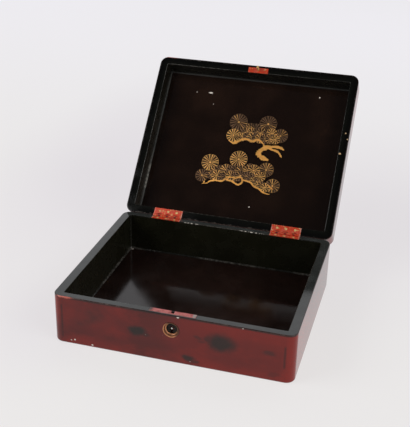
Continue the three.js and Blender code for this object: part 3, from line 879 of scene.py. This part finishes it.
def make_materials():
    shade_and_marks = [
        (place, (wide * MM, deep * MM, MARK_REACH), colour)
        for place, wide, deep, colour in placed(on_rim, PLATE_SHADE_AND_MARKS)
    ]
    leaf_boxes = [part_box(f"{side}_hinge_lid_leaf") for side in ("left", "right")]
    knuckles = knuckle_shade(leaf_boxes)
    return {
        "red": red_lacquer(),
        "rim": black_lacquer("rim_black", RIM_BLACK, RIM_SHEEN),
        "rail": rail_lacquer(placed(on_rail, RAIL_CHIPS)),
        "wall": wall_lacquer("wall_black", WALL_GREEN, WALL_PAINTED_LIGHT, HALF_DEPTH, 0.0),
        "recess": wall_lacquer("recess_black", RECESS_GREEN, RECESS_PAINTED_LIGHT, -HALF_DEPTH, HALF_DEPTH),
        "floor": black_lacquer(
            "floor_black", FLOOR_BROWN, FLOOR_SHEEN, placed(on_floor, FLOOR_CHIPS)
        ),
        "panel": black_lacquer(
            "panel_black", PANEL_BROWN, PANEL_SHEEN,
            placed(on_panel, PANEL_CHIPS), placed(on_panel, PANEL_PATCHES),
        ),
        "outer_edge": edge_wear_and_highlight("worn_outer_edge", RED_LINE, WORN_TAN, 0.12, corner=True),
        "inner_edge": edge_wear_and_highlight(
            "worn_inner_edge", BLACK_GREEN, WORN_GREY, 0.6, bright=placed(on_rim, RIM_PALE_STRETCHES)
        ),
        "lid_inner_edge": edge_wear_and_highlight("worn_and_highlit_lid_inner_edge", BLACK_GREEN, WORN_GREY, lid_inner_wear_and_highlight),
        "floor_edge": edge_wear_and_highlight("worn_floor_edge", BLACK_GREEN, WORN_GREY, 0.7),
        "lid_fillet": edge_wear_and_highlight(
            "worn_and_highlit_lid_fillet", RECESS_GREEN, FILLET_WEAR_AND_HIGHLIGHT, lid_fillet_wear_and_highlight, sheen=FILLET_SHEEN
        ),
        "wood": raw_wood(),
        "leaf": lacquered_metal("red_leaf", LEAF_RED, LEAF_PINK, BRASS_YELLOW, leaf_boxes, knuckles),
        "plate": lacquered_metal("pink_plate", PLATE_PINK, PLATE_RED, WORN_TAN, shade_and_marks=shade_and_marks),
        "catch": lacquered_metal("red_plate", LEAF_RED, LEAF_PINK, BRASS_YELLOW),
        "brass": plain_metal("aged_brass", BRASS_YELLOW, COPPER, 0.35, 0.25),
        "copper": ring_copper(),
        # Near-black steel for the lock: painted shade where it is seen through the keyhole
        "steel": plain_metal("dark_steel", STEEL_DARK, STEEL_RUST, 0.6),
        "pin": plain_metal("pale_steel", STEEL_PALE, STEEL_DARK, 0.3),
        "branch": gold_work("gold_branch", GOLD_BRANCH, 0.75),
        "needle": gold_work("gold_needle", GOLD_NEEDLE, 0.6),
        "bright": gold_work("bright_gold_needle", GOLD_BRIGHT, 0.6),
        "dim": gold_work("dim_gold_needle", GOLD_DIM, 0.6),
        "dust": gold_work("gold_ground", GOLD_DUST, 0.5),
    }


# Pieces

ZONES = ["red", "outer_edge", "rim", "inner_edge", "wall", "floor_edge", "floor", "wood"]
RED, OUTER_EDGE, RIM, INNER_EDGE, WALL, FLOOR_EDGE, FLOOR, WOOD = range(len(ZONES))
IN_LID = {
    "rim": "rail",
    "floor": "panel",
    "wall": "recess",
    "inner_edge": "lid_inner_edge",
    "floor_edge": "lid_fillet",
}


def shell_rings(up, first_zone, outer, rim_z, wall, thinner, inner):
    """Rings over the outside, the rim and the inside of the base, or of the lid where up is -1.

    Outer and inner each say where they start, the size of their round and the steps in it.
    """
    rings = []
    zones = [first_zone]
    outer_z, outer_round, outer_steps = outer
    inner_z, inner_round, inner_steps = inner
    for rise, inset in quarter(outer_steps, outer_round):
        rings.append(rounded_ring(inset, CORNER_RADIUS - inset, outer_z + up * rise))
        zones.append(RED)
    for drop, inset in quarter(RIM_STEPS, RIM_ROUND)[::-1]:
        rings.append(rounded_ring(inset, CORNER_RADIUS - inset, rim_z - up * drop))
        zones.append(OUTER_EDGE)
    zones[-1] = RIM
    for drop, inset in quarter(RIM_STEPS, RIM_INNER_ROUND):
        rings.append(rounded_ring(wall - inset, INNER_CORNER + inset, rim_z - up * drop, thinner))
        zones.append(INNER_EDGE)
    zones[-1] = WALL
    for rise, inset in quarter(inner_steps, inner_round)[::-1]:
        rings.append(rounded_ring(wall + inset, INNER_CORNER, inner_z + up * rise, thinner))
        zones.append(FLOOR_EDGE)
    zones[-1] = FLOOR
    return rings, zones


def hinge_cutters(leaves, bottom, top, bevel_side):
    """What the hinges and the stop bevel take out of the base or the lid, with the lid shut."""
    for low, high in leaves:
        start = low.x - POCKET_GAP
        end = high.x + POCKET_GAP
        pocket_end = (end, HALF_DEPTH + CUTTER_PAST, top)
        yield box_cutter, (start, low.y - POCKET_GAP, bottom), pocket_end
        pin_y, pin_z = HINGE_PLACE.yz
        yield rod_cutter, "X", HINGE_GROOVE, (start, pin_y, pin_z), (end, pin_y, pin_z)
    turn = (
        Matrix.Translation(HINGE_PLACE)
        @ Matrix.Rotation(bevel_side * (math.pi / 2 - LID_ANGLE / 2), 4, "X")
    )
    past_side = 2 * HALF_WIDTH
    far = (past_side, BEVEL_REACH, BEVEL_REACH)
    yield box_cutter, (-past_side, -STOP_GAP, -BEVEL_REACH), far, turn


def lock_cutters():
    plate_low, plate_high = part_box("lock_plate")
    case_low, case_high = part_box("lock_case")
    ring_low, ring_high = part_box("keyhole_ring")
    gap = POCKET_GAP
    inner_y = CUTTER_PAST - INNER_Y
    top = RIM_Z + CUTTER_PAST
    sheet = plate_high.y - case_high.y
    plate_x = plate_low.x - gap
    plate_end = (plate_high.x + gap, inner_y, top)
    yield box_cutter, (plate_x, plate_low.y - gap, RIM_Z - sheet - gap), plate_end
    yield box_cutter, (plate_x, -INNER_Y - sheet - gap, plate_low.z - gap), plate_end
    case_start = (case_low.x - gap, case_low.y - gap, case_low.z - gap)
    yield box_cutter, case_start, (case_high.x + gap, inner_y, top)
    middle = (ring_low + ring_high) / 2
    radius = (ring_high.z - ring_low.z) / 2
    front = (middle.x, -HALF_DEPTH - CUTTER_PAST, middle.z)
    yield rod_cutter, "Y", radius + gap, front, (middle.x, case_low.y + gap, middle.z), RING_SIDES


def make_base(mats):
    foot = (0, BASE_FOOT_ROUND, 4)
    inner = (FLOOR_Z, FLOOR_FILLET, 3)
    rings, zones = shell_rings(1, RIM, foot, RIM_Z, SIDE_WALL, END_WALL - SIDE_WALL, inner)
    mesh = ring_mesh("lacquered_base", rings, zones)
    for zone in ZONES:
        mesh.materials.append(mats[zone])
    base = add_object("lacquered_base", mesh, "base")
    leaves = [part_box(f"{side}_hinge_base_leaf") for side in ("left", "right")]
    cut(base, hinge_cutters(leaves, RIM_Z - POCKET_DEPTH, RIM_Z + CUTTER_PAST, 1))
    cut(base, lock_cutters())
    keep_closed_place(base)
    smooth_lacquer(base)
    walls = [f"base_{side}_wall" for side in ("front", "back", "left", "right")]
    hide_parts("base_bottom", *walls)


def catch_cutters():
    """The pocket of the catch plate, with the lid shut."""
    low, high = shut_box("catch_plate")
    start = (low.x - POCKET_GAP, low.y - POCKET_GAP, LID_RIM_Z - CUTTER_PAST)
    yield box_cutter, start, (high.x + POCKET_GAP, high.y + CUTTER_PAST, high.z + POCKET_GAP)


def make_lid(mats):
    top = (LID_TOP_Z, LID_ROUND, 5)
    inner = (PANEL_Z, LID_FILLET, 4)
    rings, zones = shell_rings(-1, RED, top, LID_RIM_Z, LID_RAIL, 0.0, inner)
    mesh = ring_mesh("lacquered_lid", rings, zones)
    for face in mesh.polygons:
        face.flip()
    for zone in ZONES:
        mesh.materials.append(mats[IN_LID.get(zone, zone)])
    lid = add_object("lacquered_lid", mesh, "lid")
    leaves = [shut_box(f"{side}_hinge_lid_leaf") for side in ("left", "right")]
    cut(lid, hinge_cutters(leaves, LID_RIM_Z - CUTTER_PAST, LID_RIM_Z + POCKET_DEPTH, -1))
    cut(lid, catch_cutters())
    keep_closed_place(lid)
    lid.data.transform(OPENING)
    smooth_lacquer(lid)
    rails = [f"lid_{side}_rail" for side in ("front", "back", "left", "right")]
    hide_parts("lid_top", *rails)


# The material of each piece of hardware: the first row whose words are in the piece's name counts
METALS = [
    ("leaf", "leaf"),
    ("lock_plate", "plate"),
    ("lock_rim_screw", "plate"),
    ("lock_drill_pin", "pin"),
    ("catch_plate", "catch"),
    ("catch_screw", "catch"),
    ("keyhole_ring", "copper"),
    ("screw", "brass"),
    ("catch_hook", "brass"),
    ("_pin", "brass"),
    # The lock's steel is near-black as painted shade in the keyhole
    ("lock", "steel"),
]


def dress_hardware(mats):
    for name, node in nodes.items():
        found = [mats[metal] for words, metal in METALS if words in name]
        if not found:
            continue
        node.data.materials.clear()
        node.data.materials.append(found[0])
        for face in node.data.polygons:
            face.use_smooth = True
            face.material_index = 0
        node.data.set_sharp_from_angle(angle=METAL_CREASE)
        soft = node.modifiers.new("soft_edge", "BEVEL")
        soft.width = SOFT_EDGE
        soft.segments = 2
        soft.limit_method = "ANGLE"
        soft.harden_normals = True


# The pine in gold on the panel, by pixel: round heads of needles, rows of smaller fans, branches
HEADS = [
    ((238.8, 122.1), 9.1, "dim"),
    ((268.3, 124.2), 8.9, "dim"),
    ((280.5, 136.1), 7.4, "dim"),
    ((233.5, 135.2), 7.1, "bright"),
    ((210.2, 162.3), 8.7, "bright"),
    ((238.7, 159.2), 8.8, "bright"),
    ((266.1, 170.0), 7.5, "needle"),
    ((272.3, 186.0), 7.2, "needle"),
    ((201.9, 175.2), 6.6, "dim"),
]
FAN_ROWS = [
    ((247, 129), (260, 129), 5.8, 2),
    ((243, 132), (275, 134), 5.6, 6),
    ((241, 136), (277, 139.5), 5.0, 8),
    ((248, 168.8), (253, 169), 4.9, 2),
    ((212, 171), (256, 171), 6.0, 8),
    ((209, 175.5), (263, 178), 5.2, 11),
    ((250, 179), (266, 189), 4.6, 6),
]
BRANCHES = [
    (((228.7, 140.2), (231.5, 142.4), (234.8, 143.4), (238.7, 141.4), (243.1, 139.3), (247.6, 139.6),
      (251, 141.2), (253.6, 141.4), (256, 140.1), (259, 140.4), (261.5, 142.2), (264.5, 145.6)), 2.2),
    (((235.0, 143.2), (235.9, 140.3)), 2.4),
    (((272, 148.2), (267, 148.0), (262.8, 149.4), (259.6, 151.8), (258.6, 154.4), (260.6, 156.9),
      (264, 158.8), (268.4, 160.6)), 4.5),
    (((263, 146.0), (270, 147.0), (276, 147.2), (280.8, 148.3), (284, 150.6)), 2.5),
    (((269, 149.2), (274.8, 150.8), (278.1, 152.5), (280.0, 155.0), (281.6, 157.8)), 2.1),
    (((202, 183.6), (207.3, 183.1), (209.3, 181.5), (212, 180.8), (215.3, 180.4), (218.7, 181.1),
      (222.7, 181.0), (225.3, 179.2), (228, 180.4), (232, 181.4), (234.7, 183.3), (238, 184.9),
      (241.3, 183.3), (242.4, 180.7), (241.4, 178.0), (238.7, 177.6), (235, 178.9), (232, 180.9)), 1.7),
    (((203.7, 183.4), (204.4, 180.9)), 1.6),
    (((225.3, 177.4), (231.3, 177.4), (236, 178.4)), 1.5),
    (((241.8, 179.6), (244.7, 180.8), (248.7, 181.8), (251.3, 183.3), (253.3, 186.0), (256, 187.7),
      (259.3, 189.3), (262, 192.0), (265.3, 193.7), (269.5, 194.6)), 1.8),
    (((268.3, 185.6), (270.8, 188.1), (273, 190.0)), 1.2),
]
PIXEL_ON_PANEL = (on_panel((241, 150)) - on_panel((240, 150))).length
GOLD_LIFT = 0.05 * MM
GOLD_THICKNESS = 0.04 * MM
LAYER_LIFT = 0.003 * MM
HEAD_LIFT = 5 * LAYER_LIFT
TWIG_LIFT = 3.5 * LAYER_LIFT
GOLD_SLOTS = ("dust", "needle", "bright", "dim")
DUST, NEEDLE, BRIGHT, DIM = range(len(GOLD_SLOTS))
# Needles in the widest head, the fewest in any, and the radius of the widest head in pixels
NEEDLE_COUNT = 18
FEWEST_NEEDLES = 9
WIDEST_HEAD = 9
# Along a needle: places as shares of its reach, and widths as shares of the room it has
NEEDLE_PLACES = (0.20, 0.60, 1.0)
NEEDLE_WIDTHS = (0.10, 0.22, 0.40)
NEEDLE_THINNEST = 0.28 * MM
NEEDLE_JITTER = 0.12
NEEDLE_REACH = (0.92, 1.0)
HEAD_RIM_SHARE = 0.97
HEAD_RIM_WIDTH = 0.24 * MM
HEAD_RIM_STEPS = 40
HEART_SHARE = 0.13
FAN_SCATTER = 1.3 * MM
FAN_SIZES = (0.85, 1.1)
BRANCH_END = 0.35
BRANCH_SIZES = (0.7, 1.25)
# The golds that the needles of a head are drawn from, for each gold a head is given
GOLD_SHARES = {
    NEEDLE: (BRIGHT, NEEDLE, NEEDLE, DIM),
    BRIGHT: (BRIGHT, BRIGHT, BRIGHT, NEEDLE),
    DIM: (NEEDLE, DIM, DIM, DIM, DIM),
}
FAN_GOLDS = (BRIGHT, NEEDLE, DIM, DIM)


def on_panel_flat(pixel):
    place = on_panel(pixel)
    return Vector((place.x, place.y, 0))


def ribbon(shape, points, widths, lift, slot):
    """A thin flat ribbon on the panel along points, as wide as widths say."""
    rows = []
    for i, point in enumerate(points):
        along = points[min(i + 1, len(points) - 1)] - points[max(i - 1, 0)]
        side = Vector((-along.y, along.x, 0)).normalized() * widths[i] / 2
        rows.append([
            shape.verts.new((p.x, p.y, PANEL_Z - lift))
            for p in (point - side, point, point + side)
        ])
    for a, b in zip(rows, rows[1:]):
        for i in range(2):
            add_face(shape, (a[i], a[i + 1], b[i + 1], b[i]), slot)


def ray_at(angle):
    return Vector((math.cos(angle), math.sin(angle), 0))


def disc(shape, centre, radius, lift, slot, sides=28):
    middle = Vector((centre.x, centre.y, PANEL_Z - lift))
    rim = [middle + radius * ray_at(2 * math.pi * i / sides) for i in range(sides)]
    add_face(shape, [shape.verts.new(point) for point in rim], slot)


def needle_head(shape, centre, radius, lift, slot):
    """A round tuft: gold ground, needles that widen outwards, a rim line and a bright heart."""
    disc(shape, centre, radius, lift, DUST)
    count = round(NEEDLE_COUNT * radius / (WIDEST_HEAD * PIXEL_ON_PANEL))
    count = max(FEWEST_NEEDLES, count)
    pitch = 2 * math.pi * radius / count
    widths = [max(NEEDLE_THINNEST, pitch * share) for share in NEEDLE_WIDTHS]
    turn = random.uniform(0, 1)
    for i in range(count):
        jitter = random.uniform(-NEEDLE_JITTER, NEEDLE_JITTER)
        ray = ray_at(2 * math.pi * (i + turn + jitter) / count)
        reach = radius * random.uniform(*NEEDLE_REACH)
        points = [centre + ray * reach * t for t in NEEDLE_PLACES]
        ribbon(shape, points, widths, lift + LAYER_LIFT, random.choice(GOLD_SHARES[slot]))
    ring = []
    for i in range(HEAD_RIM_STEPS + 1):
        ring.append(centre + ray_at(2 * math.pi * i / HEAD_RIM_STEPS) * radius * HEAD_RIM_SHARE)
    ribbon(shape, ring, [HEAD_RIM_WIDTH] * len(ring), lift + 2 * LAYER_LIFT, slot)
    disc(shape, centre, HEART_SHARE * radius, lift + 3 * LAYER_LIFT, BRIGHT, 10)


def twig(shape, centre, lift):
    """A short bright stroke at the heart of a fan."""
    along = Vector((random.uniform(1.0, 1.8), random.uniform(-0.8, 0.8), 0)) * PIXEL_ON_PANEL
    size = random.uniform(0.6, 1.1) * PIXEL_ON_PANEL
    ribbon(shape, [centre - along, centre, centre + along], [0.4 * size, size, 0.5 * size], lift, BRIGHT)


def pine_needles(lift):
    """All heads and fans, each a little above the one before, and how high the last one lies."""
    shape = bmesh.new()
    for pixel, size, gold in HEADS:
        lift += HEAD_LIFT
        needle_head(shape, on_panel_flat(pixel), size * PIXEL_ON_PANEL, lift, GOLD_SLOTS.index(gold))
    for start, end, size, count in FAN_ROWS:
        first = on_panel_flat(start)
        last = on_panel_flat(end)
        for i in range(count):
            centre = first.lerp(last, (i + 0.5) / count)
            centre += Vector((random.uniform(-1, 1), random.uniform(-1, 1), 0)) * FAN_SCATTER
            lift += HEAD_LIFT
            radius = size * PIXEL_ON_PANEL * random.uniform(*FAN_SIZES)
            needle_head(shape, centre, radius, lift, random.choice(FAN_GOLDS))
            twig(shape, centre, lift + TWIG_LIFT)
    return shape, lift


def pine_branches(lift):
    shape = bmesh.new()
    for pixels, size in BRANCHES:
        points = smooth_path([on_panel_flat(pixel) for pixel in pixels], 5)
        widths = []
        for i in range(len(points)):
            from_end = min(i, len(points) - 1 - i) / len(points)
            taper = min(1.0, BRANCH_END + 4 * from_end)
            widths.append(size * PIXEL_ON_PANEL * taper * random.uniform(*BRANCH_SIZES))
        lift += HEAD_LIFT
        ribbon(shape, points, widths, lift, 0)
    return shape


def add_gold(name, shape, gold_materials):
    mesh = new_mesh(name, shape)
    for material in gold_materials:
        mesh.materials.append(material)
    mesh.transform(OPENING)
    thick = add_object(name, mesh, "lid").modifiers.new("thickness", "SOLIDIFY")
    thick.thickness = GOLD_THICKNESS
    thick.offset = 0


def make_pine(mats):
    needles, lift = pine_needles(GOLD_LIFT)
    branches = pine_branches(lift)
    add_gold("pine_needles", needles, [mats[gold] for gold in GOLD_SLOTS])
    add_gold("pine_branches", branches, [mats["branch"]])


def smooth_path(points, steps):
    """A Catmull-Rom path through points."""
    padded = [2 * points[0] - points[1]] + points + [2 * points[-1] - points[-2]]
    path = []
    for a, b, c, d in zip(padded, padded[1:], padded[2:], padded[3:]):
        for k in range(steps):
            t = k / steps
            path.append(0.5 * (
                2 * b + (c - a) * t + (2 * a - 5 * b + 4 * c - d) * t ** 2
                + (3 * b - a - 3 * c + d) * t ** 3
            ))
    path.append(points[-1])
    return path


# Stage

def make_stage():
    shape = bmesh.new()
    bmesh.ops.create_grid(shape, x_segments=8, y_segments=8, size=FLOOR_HALF)
    floor = new_object("studio_floor", new_mesh("studio_floor", shape))
    floor.data.materials.append(studio_floor())


def seen_directly(n):
    """1 for what the camera, a reflection or glass sees, 0 for light that bounces."""
    path = n.add("ShaderNodeLightPath")
    glossy = n.most(path.outputs["Is Camera Ray"], path.outputs["Is Glossy Ray"])
    return n.most(glossy, path.outputs["Is Transmission Ray"])


def studio_floor():
    """A pale floor that takes a soft shadow, has a few painted shadows, and is seen as near white."""
    n = material_nodes("studio_floor")
    far = n.ramp(n.y, 0.0, FLOOR_COOL_AT)
    uneven = n.ramp(n.noise(0.6, 2), 0.3, 0.7, 0.85, 1.0)
    colour = n.mix(n.times(far, uneven), FLOOR_PALE, FLOOR_COOL)
    # Painted shadows: soft darker places on the floor
    for pixel, half_x, half_y, depth in PAINTED_SHADOWS:
        place = on_level(pixel, 0)
        colour = n.mix(n.times(n.spot(place, (half_x, half_y, 1.0), 0.9), depth), colour, FLOOR_SHADOW)
    material = n.finish(colour, 0.8)
    n.shader.inputs["Specular IOR Level"].default_value = 0.0
    shaded = n.add("ShaderNodeBsdfDiffuse", {"Color": toned(FLOOR_PALE, FLOOR_SHADED)})
    glow = n.add("ShaderNodeEmission", {"Color": colour, "Strength": FLOOR_GLOW})
    both = n.add("ShaderNodeAddShader", {0: shaded.outputs[0], 1: glow.outputs[0]})
    choice = {0: seen_directly(n), 1: n.shader.outputs[0], 2: both.outputs[0]}
    n.fill(n.output, {"Surface": n.add("ShaderNodeMixShader", choice).outputs[0]})
    return material


def make_world():
    """Pale behind and beside the box and dark overhead, where the lid would mirror it."""
    world = bpy.data.worlds.new("studio")
    bpy.context.scene.world = world
    n = Nodes(world, "ShaderNodeOutputWorld", "ShaderNodeBackground", "Generated")
    lean = n.math("SUBTRACT", n.z, n.times(n.y, BACKDROP_LEAN))
    ramp = n.add("ShaderNodeValToRGB", {0: lean})
    n.fill(n.shader, {"Color": ramp.outputs[0]})
    stops = ((BACKDROP_TOP, BACKDROP_PALE), (CEILING_START, CEILING_DARK))
    for element, (position, colour) in zip(ramp.color_ramp.elements, stops):
        element.position = position
        element.color = colour


def add_light(name, place, size, power, target):
    light = bpy.data.lights.new(name, "AREA")
    light.shape = "RECTANGLE"
    light.size = size[0]
    light.size_y = size[1]
    light.energy = power
    lamp = new_object(name, light)
    lamp.location = place
    lamp.rotation_euler = (Vector(target) - Vector(place)).to_track_quat("-Z", "Y").to_euler()


def make_camera():
    forward, right, up = camera_axes()
    camera = bpy.data.cameras.new("camera")
    camera.sensor_width = SENSOR_MM
    camera.lens = SENSOR_MM * FOCAL_PX / PHOTO_HEIGHT
    camera.clip_start = 0.01
    camera.clip_end = 50
    obj = new_object("camera", camera)
    turn = Matrix((right, up, -forward)).transposed().to_4x4()
    obj.matrix_world = Matrix.Translation(CAMERA_PLACE) @ turn
    bpy.context.scene.camera = obj


make_camera()
materials = make_materials()
make_base(materials)
make_lid(materials)
dress_hardware(materials)
make_pine(materials)
make_stage()
make_world()
for light in LIGHTS:
    add_light(*light)
bpy.context.scene.view_settings.view_transform = "Standard"
